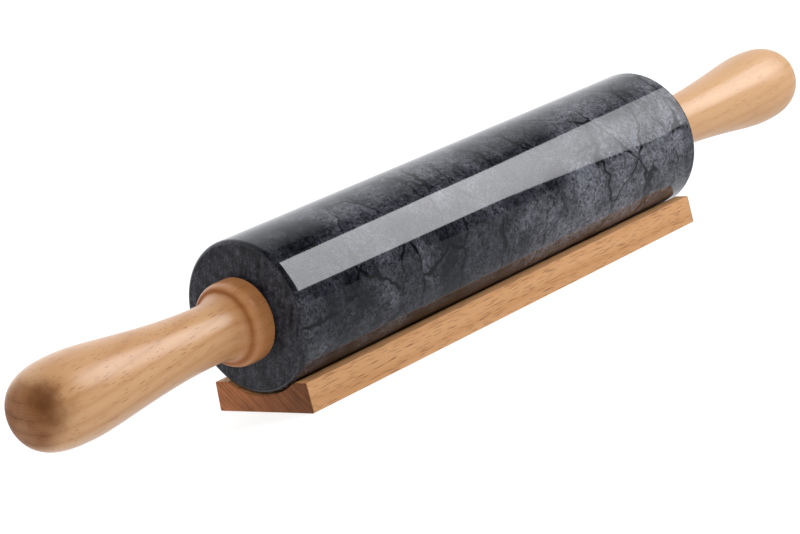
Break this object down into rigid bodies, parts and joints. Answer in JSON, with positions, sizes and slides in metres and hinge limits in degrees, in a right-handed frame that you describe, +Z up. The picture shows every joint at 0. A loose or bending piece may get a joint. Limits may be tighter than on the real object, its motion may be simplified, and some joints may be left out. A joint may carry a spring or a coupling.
{
  "type": "rolling pin",
  "caption": "Stone rolling pin with turned wooden handles on a steel axle, resting in a grooved wooden cradle. The barrel turns freely and the pin lifts off.",
  "frame": {"origin": "under the middle of the pin, in the plane of the cradle's underside, on the table", "axes": "+X along the pin towards the right-hand handle, +Z up, +Y across the cradle away from the front"},
  "size_m": [0.48, 0.06, 0.0669],
  "materials": {
    "cradle_beech": "planed beech, satin oiled, open end grain",
    "barrel_stone": "polished dark grey marble with paler clouds and fine dark veins, honed end faces",
    "bush_nylon": "natural nylon, matt",
    "rod_steel": "bright drawn steel",
    "washer_steel": "blackened steel",
    "nut_steel": "zinc plated steel",
    "insert_brass": "turned brass",
    "handle_beech": "turned beech, satin lacquer"
  },
  "bodies": {
    "cradle": {"cradle": "cradle_beech"},
    "axle": {"axle_rod": "rod_steel", "left_washer": "washer_steel", "right_washer": "washer_steel", "left_lock_nut": "nut_steel", "right_lock_nut": "nut_steel", "left_insert": "insert_brass", "right_insert": "insert_brass", "left_handle": "handle_beech", "right_handle": "handle_beech"},
    "barrel": {"barrel": "barrel_stone", "left_bush": "bush_nylon", "right_bush": "bush_nylon"}
  },
  "joints": [
    {"name": "pin_lift", "type": "slide", "parent": "cradle", "child": "axle", "axis": [0, 0, 1], "range_m": [0, 0.12]},
    {"name": "barrel_spin", "type": "hinge", "parent": "axle", "child": "barrel", "pos_m": [0, 0, 0.0369], "axis": [1, 0, 0], "continuous": true}
  ]
}
